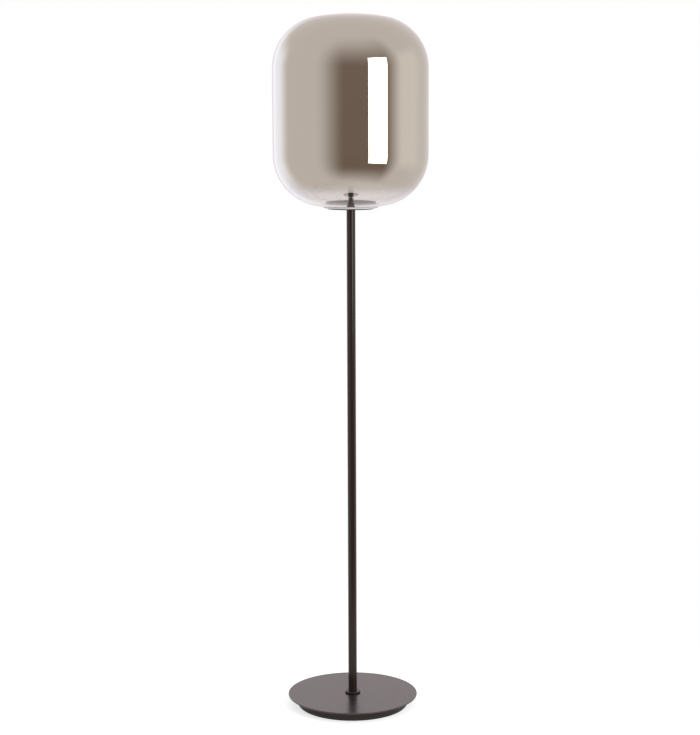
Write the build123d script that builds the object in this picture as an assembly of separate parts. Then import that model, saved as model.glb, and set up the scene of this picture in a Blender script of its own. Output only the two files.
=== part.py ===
from build123d import *
import math
import os

# A floor lamp: a capsule-shaped glass globe on a thin tube and a flat round base.
# Millimetres, +Z up, the origin on the floor under the stem's axis, +Y to the rear.

# ---------------------------------------------------------------- driving sizes
# base
pad_diameter = 252.0
pad_thickness = 2.0
weight_diameter = 258.0
weight_thickness = 21.0
weight_edge = 2.0             # bevel round the casting
plate_diameter = 300.0
plate_thickness = 3.0
plate_edge_radius = 1.0
recess_diameter = 100.0
recess_web = 5.0              # iron left above the wiring recess

# cord entry at the rear
cord_bore_diameter = 7.2
bush_diameter = 10.0
bush_length = 18.0
bush_head_diameter = 15.0
bush_head_thickness = 3.5
bush_mouth_radius = 1.2
bush_head_bevel = 0.8
spot_depth = 2.5              # flat sunk into the weight's rim for the bush's head

# stem and its collar
stem_diameter = 20.0
stem_wall = 1.5
stem_length = 1128.0
plug_length = 15.0
collar_diameter = 36.0
collar_height = 4.6
collar_edge_radius = 2.2
collar_bore_bevel = 0.4
collar_foot_diameter = 31.2   # undercut that leaves a shadow line over the plate
collar_foot_height = 1.2

# hollow threaded tubes and their nuts
nipple_diameter = 10.0
nipple_bore = 7.2
nipple_grip = 11.0            # how far a nipple is screwed into its plug
nut_flats = 14.0
nut_thickness = 3.0
washer_thickness = 1.6
foot_washer_diameter = 28.0
lock_washer_diameter = 18.0
lock_washer_thickness = 1.0
lock_washer_teeth = 10
lock_tooth_depth = 2.0
foot_nipple_tail = 0.6        # thread showing under the foot nut

# glass globe
globe_diameter = 350.0
globe_height = 432.0          # from crown to crown, as if the bottom were whole
crown_radius = 440.0
corner_centre_diameter = 118.0   # circle on which the corner arcs have their centres
glass_wall = 2.8
mouth_diameter = 114.4
seat_width = 3.3              # ground flat round the mouth
lip_height = 4.6
lip_width = 9.0
lip_bevel = 1.2

# seat under the globe
dish_depth = 4.5
dish_drum_diameter = 105.0
dish_sheet = 1.0
dish_bend_radius = 1.6
dish_flange_margin = 0.5      # flange past the glass's ground flat
gasket_thickness = 0.8
gasket_lip = 3.0              # how far the gasket reaches in under the flange
gasket_bevel = 0.4
seat_washer_diameter = 24.0
cap_height = 10.0             # straight wall of the locating cap
cap_crown = 3.5               # rise of its domed top
cap_sheet = 1.2
cap_edge_radius = 1.5

# riser and lampholder
riser_diameter = 12.0
riser_bore = 10.4
riser_length = 88.0
holder_diameter = 41.0
holder_wall = 1.7
holder_cap_height = 24.0
holder_bevel = 1.0
holder_waist_radius = 3.0
holder_collar_diameter = 16.0
holder_collar_height = 5.5
holder_spigot_height = 6.0
holder_lock_nut_thickness = 2.5
core_disc_thickness = 7.0
core_sleeve_wall = 2.0
core_sleeve_height = 22.5
screw_shell_diameter = 27.2   # bore of the lampholder's screw shell
screw_shell_sheet = 0.5
screw_shell_flange = 3.6
screw_shell_margin = 1.0      # shell's edge below the sleeve's
terminal_diameter = 4.4
terminal_tail = 4.0           # terminal under the core
live_terminal_x = -6.0
contact_sheet = 0.5
contact_width = 5.0
contact_rise = 4.6            # the sprung tongue's height
contact_run = 1.8             # length of the slope up to the tongue
contact_land = 0.5            # flat of the strip past its post

# bulb, standard medium screw size
bulb_diameter = 60.0
bulb_length = 105.0
bulb_cap_diameter = 26.5
bulb_cap_height = 19.0
bulb_cap_sheet = 0.4
bulb_cap_bevel = 1.2
bulb_tip_diameter = 9.6
bulb_tip_height = 2.0
bulb_insulator_height = 5.0
bulb_insulator_margin = 0.6   # cone wider than the tip at its foot
bulb_insulator_inset = 1.5    # cone narrower than the cap at its top
bulb_glass_wall = 0.8
bulb_neck_diameter = 24.6
bulb_neck_inset = 12.0        # glass inside the metal cap
bulb_neck_rise = 2.0          # straight neck over the metal cap
bulb_dome_turn = 118.0        # degrees of the sphere, from its top, before it draws in
mount_height = 46.0
mount_diameter = 6.0
mount_foot = 1.0              # straight edge of the flare
mount_flare = 11.0            # height over which the flare draws in
mount_flare_radius = 8.0
mount_end_bevel = 0.8
filament_count = 4
filament_length = 34.0
filament_diameter = 1.8
filament_circle = 11.0        # radius at the filaments' feet
filament_lean = 9.0           # degrees, tops inwards
filament_rise = 1.0           # filaments' middle over the mount's end
lead_diameter = 0.8
lead_drop = 6.0               # leads under the mount's end

# wiring
wire_diameter = 1.6
wire_offset = 1.5             # each wire's axis from the stem's
wire_bend = 3.5
wire_top_bend = 2.6
wire_tail = 3.4               # wire inside the block, and its straight run to a post
block_length = 30.0
block_width = 15.0
block_height = 12.5
block_bevel = 1.2
block_distance = 31.0         # block's middle behind the stem's axis
block_pitch = 9.0
block_port_diameter = 3.4
block_screw_diameter = 2.5
block_head_diameter = 4.6
block_head_thickness = 1.6
screw_bite = 3.5              # thread in the weight, for block and earth screws
clamp_screw_diameter = 3.0
clamp_screw_sink = 0.5
earth_screw_x = 30.0
earth_screw_diameter = 4.0
earth_head_diameter = 8.0
earth_head_thickness = 2.6
earth_eye_thickness = 2.0

# clearances
slip_gap = 0.1                # turned pieces of one assembly
thread_gap = 0.05             # plain cylinders that stand for a screwed joint
mouth_gap = 0.7               # locating cap to the glass's mouth, all round
bulb_gap = 0.3                # bulb's tip over the tongue

# ---------------------------------------------------------------- derived heights
weight_bottom = pad_thickness
weight_top = weight_bottom + weight_thickness
plate_top = weight_top + plate_thickness
recess_ceiling = weight_top - recess_web
stem_top = plate_top + stem_length
dish_floor = stem_top + dish_sheet
flange_top = stem_top + dish_depth
flange_bottom = flange_top - dish_sheet
glass_seat = flange_top + gasket_thickness

mouth_radius = mouth_diameter / 2
seat_radius = mouth_radius + seat_width
flange_radius = seat_radius + dish_flange_margin
corner_radius = (globe_diameter - corner_centre_diameter) / 2
crown_low = glass_seat - (crown_radius - math.sqrt(crown_radius**2 - seat_radius**2))
globe_top = crown_low + globe_height

locating_radius = mouth_radius - mouth_gap
cap_shoulder = flange_top + cap_height
cap_top = cap_shoulder + cap_crown
holder_base = cap_top + riser_length

core_bottom = holder_base + holder_cap_height
core_top = core_bottom + core_disc_thickness
bulb_tip = core_top + contact_rise + contact_sheet + bulb_gap
bulb_cap_bottom = bulb_tip + bulb_tip_height + bulb_insulator_height
bulb_cap_top = bulb_cap_bottom + bulb_cap_height
bulb_centre = bulb_tip + bulb_length - bulb_diameter / 2
mount_low = bulb_cap_top - bulb_neck_inset + mount_foot
mount_top = mount_low + mount_height
holder_floor = holder_base + holder_collar_height + holder_wall
nipple_top = holder_floor + holder_lock_nut_thickness + slip_gap

foot_washer_bottom = recess_ceiling - washer_thickness
foot_lock_bottom = foot_washer_bottom - lock_washer_thickness
foot_nut_bottom = foot_lock_bottom - nut_thickness
bush_height = (weight_bottom + weight_top) / 2
bush_seat = weight_diameter / 2 - spot_depth
block_bottom = recess_ceiling - block_height
port_height = foot_nut_bottom - foot_nipple_tail - wire_bend
clamp_tip = port_height - wire_diameter / 2
shell_terminal_x = screw_shell_diameter / 2 - screw_shell_flange / 2


# ---------------------------------------------------------------- shape helpers
def nearest_corner(face, point):
    """The corner of a flat profile that lies nearest a (radius, height) point."""
    return face.vertices().sort_by_distance((*point, 0))[0]


def turned(*outline, rounded=(), bevelled=()):
    """A solid turned about Z from (radius, height) points, some corners rounded or bevelled in the profile."""
    face = make_face(Polyline(*outline, close=True))
    for index, radius in rounded:
        face = fillet(nearest_corner(face, outline[index]), radius)
    for index, width in bevelled:
        face = chamfer(nearest_corner(face, outline[index]), width)
    return revolve(Plane.XZ * face, Axis.Z)


def ring(outer_radius, inner_radius, low, high):
    """A flat ring or a straight tube about Z."""
    return turned((inner_radius, low), (outer_radius, low), (outer_radius, high), (inner_radius, high))


def rod(radius, low, high, at=(0.0, 0.0)):
    """An upright round rod."""
    return Pos(at[0], at[1], low) * Cylinder(radius, high - low, align=(Align.CENTER, Align.CENTER, Align.MIN))


def hex_nut(flats, bore_radius, low, thickness):
    """A hexagon nut whose corners are turned off on its lower and upper faces."""
    corner_radius_of_nut = flats / math.sqrt(3)
    blank = extrude(RegularPolygon(flats / 2, 6, major_radius=False), thickness)
    chamfer_height = (corner_radius_of_nut - flats / 2) * math.tan(math.radians(30))
    cone = turned(
        (0, 0),
        (flats / 2, 0),
        (corner_radius_of_nut, chamfer_height),
        (corner_radius_of_nut, thickness - chamfer_height),
        (flats / 2, thickness),
        (0, thickness),
    )
    bore = Cylinder(bore_radius, thickness * 3)
    return Pos(0, 0, low) * ((blank & cone) - bore)


def wire_along(points, radii):
    """A round wire along straight runs joined by tangent arcs."""
    path = FilletPolyline(*points, radius=radii)
    section = Plane(origin=path @ 0, z_dir=path % 0) * Circle(wire_diameter / 2)
    return sweep(section, path=path)


# ---------------------------------------------------------------- base
def base_pad():
    """Foam disc that the lamp rests on."""
    return rod(pad_diameter / 2, 0, pad_thickness)


def base_weight():
    """Cast disc: clearance hole for the nipple, wiring recess below, and a drilled tunnel to the rear."""
    radius = weight_diameter / 2
    recess = recess_diameter / 2
    hole = nipple_diameter / 2 + slip_gap
    body = turned(
        (hole, recess_ceiling),
        (recess, recess_ceiling),
        (recess, weight_bottom),
        (radius, weight_bottom),
        (radius, weight_top),
        (hole, weight_top),
        bevelled=[(3, weight_edge), (4, weight_edge)],
    )
    along_y = Plane(origin=(0, 0, bush_height), z_dir=(0, 1, 0))
    tunnel = extrude(along_y * Circle(bush_diameter / 2 + thread_gap), radius + 1)
    spot_radius = bush_head_diameter / 2 + slip_gap
    spot = extrude(along_y.offset(bush_seat) * Circle(spot_radius), spot_depth + 1)
    body = body - tunnel - spot
    block_hole_radius = block_screw_diameter / 2 + thread_gap
    hole_top = recess_ceiling + screw_bite
    for place in block_screw_places():
        body -= rod(block_hole_radius, recess_ceiling - 1, hole_top, place)
    return body - rod(earth_screw_diameter / 2 + thread_gap, recess_ceiling - 1, hole_top, (earth_screw_x, 0))


def base_plate():
    """Thin round plate over the weight, its rim rounded above and below."""
    radius = plate_diameter / 2
    hole = nipple_diameter / 2 + slip_gap
    return turned(
        (hole, weight_top),
        (radius, weight_top),
        (radius, plate_top),
        (hole, plate_top),
        rounded=[(2, plate_edge_radius)],
        bevelled=[(1, plate_edge_radius)],
    )


def cord_bush():
    """Flanged bush screwed into the weight's rim, with a rounded mouth for the cord."""
    bore = cord_bore_diameter / 2
    head = bush_head_diameter / 2
    shank = bush_diameter / 2
    upright = turned(
        (bore, -bush_length),
        (shank, -bush_length),
        (shank, 0),
        (head, 0),
        (head, bush_head_thickness),
        (bore, bush_head_thickness),
        rounded=[(5, bush_mouth_radius)],
        bevelled=[(4, bush_head_bevel)],
    )
    return Plane(origin=(0, bush_seat, bush_height), x_dir=(1, 0, 0), z_dir=(0, 1, 0)) * upright


def block_screw_places():
    return [(side * block_pitch / 2, block_distance) for side in (-1, 1)]


def terminal_block():
    """Three-way block hung from the recess's ceiling, ported front and rear, screws reached from below."""
    body = Pos(0, block_distance, block_bottom) * Box(
        block_length, block_width, block_height, align=(Align.CENTER, Align.CENTER, Align.MIN)
    )
    body = chamfer(body.edges().filter_by(Axis.Z), block_bevel)
    for way in (-1, 0, 1):
        port = Pos(way * block_pitch, block_distance, port_height) * Rot(90, 0, 0)
        body -= port * Cylinder(block_port_diameter / 2, block_width + 2)
        for side in (-1, 1):
            place = (way * block_pitch, block_distance + side * block_width / 4)
            body -= rod(clamp_screw_diameter / 2 + thread_gap, block_bottom - 1, clamp_tip, place)
    for place in block_screw_places():
        body -= rod(block_screw_diameter / 2 + slip_gap, block_bottom - 1, recess_ceiling + 1, place)
    return body


def terminal_screws():
    """Six clamping screws, sunk a little below the block's face."""
    screws = []
    for way in (-1, 0, 1):
        for side in (-1, 1):
            place = (way * block_pitch, block_distance + side * block_width / 4)
            screws.append(rod(clamp_screw_diameter / 2, block_bottom + clamp_screw_sink, clamp_tip, place))
    return Compound(screws)


def block_screws():
    """Two pan-head screws through the block, between its ways, into the weight."""
    screws = []
    for place in block_screw_places():
        shank = rod(block_screw_diameter / 2, block_bottom, recess_ceiling + screw_bite, place)
        head = rod(block_head_diameter / 2, block_bottom - block_head_thickness, block_bottom, place)
        screws.append(shank + head)
    return Compound(screws)


def earth_screw():
    """Earth point: a pan-head screw that clamps the earth wire's eye to the bare iron."""
    at = (earth_screw_x, 0)
    seat = recess_ceiling - earth_eye_thickness
    shank = rod(earth_screw_diameter / 2, seat, recess_ceiling + screw_bite, at)
    return shank + rod(earth_head_diameter / 2, seat - earth_head_thickness, seat, at)


def foot_nipple():
    """Hollow threaded tube from the stem's lower plug down to the foot nut."""
    low = foot_nut_bottom - foot_nipple_tail
    return ring(nipple_diameter / 2, nipple_bore / 2, low, plate_top + nipple_grip)


def foot_washer():
    hole = nipple_diameter / 2 + slip_gap
    return ring(foot_washer_diameter / 2, hole, foot_washer_bottom, recess_ceiling)


def foot_lock_washer():
    """External-tooth lock washer."""
    washer = ring(lock_washer_diameter / 2, nipple_diameter / 2 + slip_gap, foot_lock_bottom, foot_washer_bottom)
    gap_width = math.pi * lock_washer_diameter / lock_washer_teeth / 2
    reach = lock_washer_diameter / 2 - lock_tooth_depth
    gap = Pos(reach, 0, foot_lock_bottom - 1) * Box(
        lock_washer_diameter, gap_width, 3, align=(Align.MIN, Align.CENTER, Align.MIN)
    )
    for turn in range(lock_washer_teeth):
        washer -= Rot(0, 0, turn * 360 / lock_washer_teeth) * gap
    return washer


def foot_nut():
    return hex_nut(nut_flats, nipple_diameter / 2 + thread_gap, foot_nut_bottom, nut_thickness)


# ---------------------------------------------------------------- stem
def foot_collar():
    """Low turned ring slipped over the stem's foot: upper edge rounded, undercut where it meets the plate."""
    outer = collar_diameter / 2
    inner = stem_diameter / 2 + slip_gap
    foot = collar_foot_diameter / 2
    ledge = plate_top + collar_foot_height
    top = plate_top + collar_height
    return turned(
        (inner, plate_top),
        (foot, plate_top),
        (foot, ledge),
        (outer, ledge),
        (outer, top),
        (inner, top),
        rounded=[(4, collar_edge_radius)],
        bevelled=[(5, collar_bore_bevel)],
    )


def stem_tube():
    outer = stem_diameter / 2
    return ring(outer, outer - stem_wall, plate_top, stem_top)


def stem_plug(low):
    """Threaded plug fixed flush in one end of the stem."""
    return ring(stem_diameter / 2 - stem_wall, nipple_diameter / 2 + thread_gap, low, low + plug_length)


# ---------------------------------------------------------------- globe seat
def seat_dish():
    """Spun saucer: a drum with a flat floor, turned out at its rim into the flange that carries the glass."""
    drum = dish_drum_diameter / 2
    hole = nipple_diameter / 2 + slip_gap
    return turned(
        (hole, stem_top),
        (drum, stem_top),
        (drum, flange_bottom),
        (flange_radius, flange_bottom),
        (flange_radius, flange_top),
        (drum - dish_sheet, flange_top),
        (drum - dish_sheet, dish_floor),
        (hole, dish_floor),
        rounded=[(1, dish_bend_radius)],
        bevelled=[(5, dish_bend_radius)],
    )


def seat_gasket():
    """Soft channel ring: its broad leg lies under the glass's ground edge, its lip wraps the flange's rim."""
    bore = locating_radius + slip_gap
    outer = flange_radius + gasket_thickness
    lip_bore = flange_radius - gasket_lip
    lip_bottom = flange_bottom - gasket_thickness
    return turned(
        (bore, flange_top),
        (flange_radius, flange_top),
        (flange_radius, flange_bottom),
        (lip_bore, flange_bottom),
        (lip_bore, lip_bottom),
        (outer, lip_bottom),
        (outer, glass_seat),
        (bore, glass_seat),
        bevelled=[(5, gasket_bevel), (6, gasket_bevel)],
    )


def seat_washer():
    hole = nipple_diameter / 2 + slip_gap
    return ring(seat_washer_diameter / 2, hole, dish_floor, dish_floor + washer_thickness)


def seat_nut():
    low = dish_floor + washer_thickness
    return hex_nut(nut_flats, nipple_diameter / 2 + thread_gap, low, nut_thickness)


def arc_at(centre_radius, centre_height, radius, start, end):
    """Profile arc between two directions in degrees, counted from straight down towards +radius."""
    def place(direction):
        turn = math.radians(direction)
        return (centre_radius + radius * math.sin(turn), centre_height - radius * math.cos(turn))

    return ThreePointArc(place(start), place((start + end) / 2), place(end))


def dome_radius(half_width, rise):
    return (half_width**2 + rise**2) / (2 * rise)


def locating_cap():
    """Spun cap that fills the glass's mouth: straight wall on the flange, shallow domed top."""
    outer_dome = dome_radius(locating_radius, cap_crown)
    inner_dome = outer_dome - cap_sheet
    inner_wall = locating_radius - cap_sheet
    centre = cap_top - outer_dome
    outer_turn = math.degrees(math.asin(locating_radius / outer_dome))
    inner_turn = math.degrees(math.asin(inner_wall / inner_dome))
    outer_arc = arc_at(0, centre, outer_dome, 180, 180 - outer_turn)
    inner_arc = arc_at(0, centre, inner_dome, 180 - inner_turn, 180)
    outline = [
        outer_arc,
        Line(outer_arc @ 1, (locating_radius, flange_top)),
        Line((locating_radius, flange_top), (inner_wall, flange_top)),
        Line((inner_wall, flange_top), inner_arc @ 0),
        inner_arc,
        Line(inner_arc @ 1, outer_arc @ 0),
    ]
    face = make_face(outline)
    face = fillet(nearest_corner(face, (locating_radius, cap_shoulder)), cap_edge_radius)
    return revolve(Plane.XZ * face, Axis.Z) - rod(nipple_diameter / 2 + slip_gap, flange_top, cap_top + 1)


def riser_seat():
    """Height where the riser's lower edge meets the cap's dome."""
    dome = dome_radius(locating_radius, cap_crown)
    return cap_top - dome + math.sqrt(dome**2 - (riser_bore / 2) ** 2)


def riser_tube():
    """Cover tube from the cap's crown to the lampholder."""
    return ring(riser_diameter / 2, riser_bore / 2, riser_seat(), holder_base)


def riser_nipple():
    """Hollow threaded tube that strings the saucer, cap, riser and lampholder together."""
    return ring(nipple_diameter / 2, nipple_bore / 2, stem_top - nipple_grip, nipple_top)


# ---------------------------------------------------------------- glass globe
def globe_glass():
    """Blown capsule: flat crowns, round corners, straight sides, and a ground mouth with a thick lip."""
    side = globe_diameter / 2 - corner_radius
    rise = math.sqrt((crown_radius - corner_radius) ** 2 - side**2)
    drop = crown_radius - rise
    blend = math.degrees(math.atan2(side, rise))
    lower_centre = crown_low + crown_radius
    lower_corner = crown_low + drop
    upper_centre = globe_top - crown_radius
    upper_corner = globe_top - drop

    def shell_line(inset, start):
        crown = crown_radius - inset
        corner = corner_radius - inset
        lower = arc_at(0, lower_centre, crown, start, blend)
        lower_bend = arc_at(side, lower_corner, corner, blend, 90)
        upper_bend = arc_at(side, upper_corner, corner, 90, 180 - blend)
        upper = arc_at(0, upper_centre, crown, 180 - blend, 180)
        wall = Line(lower_bend @ 1, upper_bend @ 0)
        return [lower, lower_bend, wall, upper_bend, upper]

    inner_crown = crown_radius - glass_wall
    lip_end = mouth_radius + lip_width
    outer_start = math.degrees(math.asin(seat_radius / crown_radius))
    inner_start = math.degrees(math.asin(lip_end / inner_crown))
    outer = shell_line(0, outer_start)
    inner = shell_line(glass_wall, inner_start)
    lip_top = glass_seat + lip_height
    lip_crest = (mouth_radius + 2 * lip_bevel, lip_top)
    heel = TangentArc(inner[0] @ 0, lip_crest, tangent=-(inner[0] % 0))
    outline = [
        *outer,
        Line(outer[-1] @ 1, inner[-1] @ 1),
        *inner,
        heel,
        Line(lip_crest, (mouth_radius, lip_top)),
        Line((mouth_radius, lip_top), (mouth_radius, glass_seat)),
        Line((mouth_radius, glass_seat), outer[0] @ 0),
    ]
    face = make_face(outline)
    face = chamfer(nearest_corner(face, (mouth_radius, lip_top)), lip_bevel)
    return revolve(Plane.XZ * face, Axis.Z)


# ---------------------------------------------------------------- lampholder
def holder_cap():
    """Lower half: collar for the nipple, swelling to the spigot that the skirt screws over."""
    collar = holder_collar_diameter / 2
    outer = holder_diameter / 2
    spigot = outer - holder_wall - slip_gap
    hole = nipple_diameter / 2 + thread_gap
    shoulder = core_bottom - holder_spigot_height
    return turned(
        (hole, holder_base),
        (collar, holder_base),
        (collar, holder_base + holder_collar_height),
        (outer, shoulder - holder_wall),
        (outer, shoulder),
        (spigot, shoulder),
        (spigot, core_bottom),
        (spigot - holder_wall, core_bottom),
        (spigot - holder_wall, shoulder - holder_wall),
        (collar - slip_gap, holder_floor),
        (hole, holder_floor),
        rounded=[(2, holder_waist_radius)],
        bevelled=[(1, holder_bevel), (3, holder_bevel)],
    )


def holder_lock_nut():
    """Thin round nut that locks the cap on the nipple, from inside."""
    outer = holder_collar_diameter / 2 - holder_wall
    high = holder_floor + holder_lock_nut_thickness
    return ring(outer, nipple_diameter / 2 + thread_gap, holder_floor, high)


def holder_core():
    """Moulded core on the cap's rim: a disc for the contacts with a sleeve round the screw shell."""
    disc = holder_diameter / 2 - holder_wall - 2 * slip_gap
    shell = screw_shell_diameter / 2 + screw_shell_sheet + slip_gap
    sleeve = shell + core_sleeve_wall
    core = turned(
        (0, core_bottom),
        (disc, core_bottom),
        (disc, core_top),
        (sleeve, core_top),
        (sleeve, core_top + core_sleeve_height),
        (shell, core_top + core_sleeve_height),
        (shell, core_top),
        (0, core_top),
    )
    for terminal_x in (live_terminal_x, shell_terminal_x):
        core -= rod(terminal_diameter / 2 + thread_gap, core_bottom - 1, core_top + 1, (terminal_x, 0))
    return core


def holder_shell():
    """Screw shell of the lampholder, drawn as a plain cup with an inward flange on the core."""
    inner = screw_shell_diameter / 2
    outer = inner + screw_shell_sheet
    top = core_top + core_sleeve_height - screw_shell_margin
    return turned(
        (inner - screw_shell_flange, core_top),
        (outer, core_top),
        (outer, top),
        (inner, top),
        (inner, core_top + screw_shell_sheet),
        (inner - screw_shell_flange, core_top + screw_shell_sheet),
    )


def holder_terminals():
    """Two brass posts through the core: one under the tongue, one under the shell's flange."""
    posts = []
    for terminal_x in (live_terminal_x, shell_terminal_x):
        posts.append(rod(terminal_diameter / 2, core_bottom - terminal_tail, core_top, (terminal_x, 0)))
    return Compound(posts)


def centre_contact():
    """Sprung strip: foot on the live post, bent up into a tongue under the bulb's tip."""
    foot_end = live_terminal_x - terminal_diameter / 2
    bend_start = live_terminal_x + terminal_diameter / 2 + contact_land
    tongue_start = bend_start + contact_run
    tongue_end = bulb_tip_diameter / 2
    spine = Polyline(
        (foot_end, core_top + contact_sheet / 2),
        (bend_start, core_top + contact_sheet / 2),
        (tongue_start, core_top + contact_rise + contact_sheet / 2),
        (tongue_end, core_top + contact_rise + contact_sheet / 2),
    )
    return extrude(Plane.XZ * trace(spine, contact_sheet), contact_width / 2, both=True)


def holder_skirt():
    """Upper half: a tube screwed over the cap's spigot, its rim turned in over the core's sleeve."""
    outer = holder_diameter / 2
    inner = outer - holder_wall
    low = core_bottom - holder_spigot_height
    rim = screw_shell_diameter / 2 + screw_shell_sheet + slip_gap + core_sleeve_wall / 2
    rim_low = core_top + core_sleeve_height + slip_gap
    high = rim_low + holder_wall
    return turned(
        (inner, low),
        (outer, low),
        (outer, high),
        (rim, high),
        (rim, rim_low),
        (inner, rim_low),
        bevelled=[(2, holder_bevel)],
    )


# ---------------------------------------------------------------- wiring
def stem_wire(port_x, inside, terminal_x):
    """One core wire: out of the block, under the nipple, up the stem and out to its post."""
    block_face = block_distance - block_width / 2
    post_low = core_bottom - terminal_tail
    points = [
        (port_x, block_face + wire_tail, port_height),
        (port_x, block_face - wire_tail, port_height),
        (inside, 0, port_height),
        (inside, 0, nipple_top + wire_top_bend),
        (terminal_x, 0, post_low - wire_tail),
        (terminal_x, 0, post_low),
    ]
    return wire_along(points, [wire_bend, wire_bend, wire_top_bend, wire_top_bend])


def earth_wire():
    """Short lead from the block's outer way to the earth screw, ending in an eye."""
    block_face = block_distance - block_width / 2
    seat_height = recess_ceiling - earth_eye_thickness / 2
    eye_inner = earth_screw_diameter / 2 + slip_gap
    points = [
        (block_pitch, block_face + wire_tail, port_height),
        (block_pitch, block_face - wire_tail, port_height),
        (earth_screw_x, block_face / 2, seat_height),
        (earth_screw_x, eye_inner + wire_diameter / 2, seat_height),
    ]
    lead = wire_along(points, [wire_bend, wire_bend])
    eye = Pos(earth_screw_x, 0, 0) * ring(
        eye_inner + wire_diameter, eye_inner, recess_ceiling - earth_eye_thickness, recess_ceiling
    )
    return lead + eye


# ---------------------------------------------------------------- bulb
def bulb_contact():
    """Solder tip under the bulb."""
    return rod(bulb_tip_diameter / 2, bulb_tip, bulb_tip + bulb_tip_height)


def bulb_insulator():
    """Glass cone between the tip and the metal cap."""
    low = bulb_tip + bulb_tip_height
    return turned(
        (0, low),
        (bulb_tip_diameter / 2 + bulb_insulator_margin, low),
        (bulb_cap_diameter / 2 - bulb_insulator_inset, bulb_cap_bottom),
        (0, bulb_cap_bottom),
    )


def bulb_cap():
    """Metal cap of the bulb: a plain-sided cup with a hole over the insulator."""
    outer = bulb_cap_diameter / 2
    inner = outer - bulb_cap_sheet
    floor_hole = bulb_tip_diameter / 2
    return turned(
        (floor_hole, bulb_cap_bottom),
        (outer - bulb_cap_bevel, bulb_cap_bottom),
        (outer, bulb_cap_bottom + bulb_cap_bevel),
        (outer, bulb_cap_top),
        (inner, bulb_cap_top),
        (inner, bulb_cap_bottom + bulb_cap_bevel),
        (outer - bulb_cap_bevel, bulb_cap_bottom + bulb_cap_sheet),
        (floor_hole, bulb_cap_bottom + bulb_cap_sheet),
    )


def bulb_glass():
    """Pear-shaped envelope: a sphere drawn into the neck that is cemented in the cap."""
    sphere = bulb_diameter / 2
    neck = bulb_neck_diameter / 2
    neck_low = bulb_cap_top - bulb_neck_inset
    neck_high = bulb_cap_top + bulb_neck_rise

    def wall_line(inset):
        dome = arc_at(0, bulb_centre, sphere - inset, 180, 180 - bulb_dome_turn)
        foot = Line((neck - inset, neck_low), (neck - inset, neck_high))
        shoulder = Spline(dome @ 1, foot @ 1, tangents=[dome % 1, -(foot % 1)])
        return [dome, shoulder, foot]

    outer = wall_line(0)
    inner = wall_line(bulb_glass_wall)
    outline = [
        *outer,
        *inner,
        Line(outer[2] @ 0, inner[2] @ 0),
        Line(outer[0] @ 0, inner[0] @ 0),
    ]
    return revolve(Plane.XZ * make_face(outline), Axis.Z)


def filament_mount():
    """Glass stem inside the bulb, flared at its foot to the envelope's neck."""
    foot = bulb_neck_diameter / 2 - bulb_glass_wall - slip_gap
    stem = mount_diameter / 2
    rim = mount_low + mount_foot
    return turned(
        (0, mount_low),
        (foot, mount_low),
        (foot, rim),
        (stem, rim + mount_flare),
        (stem, mount_top),
        (0, mount_top),
        rounded=[(3, mount_flare_radius)],
        bevelled=[(4, mount_end_bevel)],
    )


def filaments():
    """Leaning filament rods, each on a short lead wire from the mount."""
    middle = filament_circle - filament_length / 2 * math.sin(math.radians(filament_lean))
    mount_face = mount_diameter / 2
    tilt = Pos(middle, 0, mount_top + filament_rise) * Rot(0, -filament_lean, 0)
    strand = tilt * Cylinder(filament_diameter / 2, filament_length)
    lead = Pos(mount_face, 0, mount_top - lead_drop) * Rot(0, 90, 0) * Cylinder(
        lead_diameter / 2, middle - mount_face, align=(Align.CENTER, Align.CENTER, Align.MIN)
    )
    return Compound([Rot(0, 0, turn * 360 / filament_count) * (strand + lead) for turn in range(filament_count)])


# ---------------------------------------------------------------- the lamp
def lamp_pieces():
    return {
        "base_pad": base_pad(),
        "base_weight": base_weight(),
        "base_plate": base_plate(),
        "cord_bush": cord_bush(),
        "terminal_block": terminal_block(),
        "terminal_screws": terminal_screws(),
        "block_screws": block_screws(),
        "earth_screw": earth_screw(),
        "foot_collar": foot_collar(),
        "foot_nipple": foot_nipple(),
        "foot_washer": foot_washer(),
        "foot_lock_washer": foot_lock_washer(),
        "foot_nut": foot_nut(),
        "stem_tube": stem_tube(),
        "stem_foot_plug": stem_plug(plate_top),
        "stem_top_plug": stem_plug(stem_top - plug_length),
        "seat_dish": seat_dish(),
        "seat_gasket": seat_gasket(),
        "seat_washer": seat_washer(),
        "seat_nut": seat_nut(),
        "locating_cap": locating_cap(),
        "riser_tube": riser_tube(),
        "riser_nipple": riser_nipple(),
        "globe_glass": globe_glass(),
        "holder_cap": holder_cap(),
        "holder_lock_nut": holder_lock_nut(),
        "holder_core": holder_core(),
        "holder_shell": holder_shell(),
        "holder_terminals": holder_terminals(),
        "centre_contact": centre_contact(),
        "holder_skirt": holder_skirt(),
        "live_wire": stem_wire(-block_pitch, -wire_offset, live_terminal_x),
        "neutral_wire": stem_wire(0, wire_offset, shell_terminal_x),
        "earth_wire": earth_wire(),
        "bulb_glass": bulb_glass(),
        "bulb_cap": bulb_cap(),
        "filament_mount": filament_mount(),
        "filaments": filaments(),
        "bulb_insulator": bulb_insulator(),
        "bulb_contact": bulb_contact(),
    }


os.makedirs("parts", exist_ok=True)
for name, piece in lamp_pieces().items():
    export_step(piece, f"parts/{name}.step")
print("globe crown low", round(crown_low, 2), "top", round(globe_top, 2), "bulb tip", round(bulb_tip, 2))
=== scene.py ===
import math

import bmesh
import bpy
from mathutils import Matrix, Vector


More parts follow.
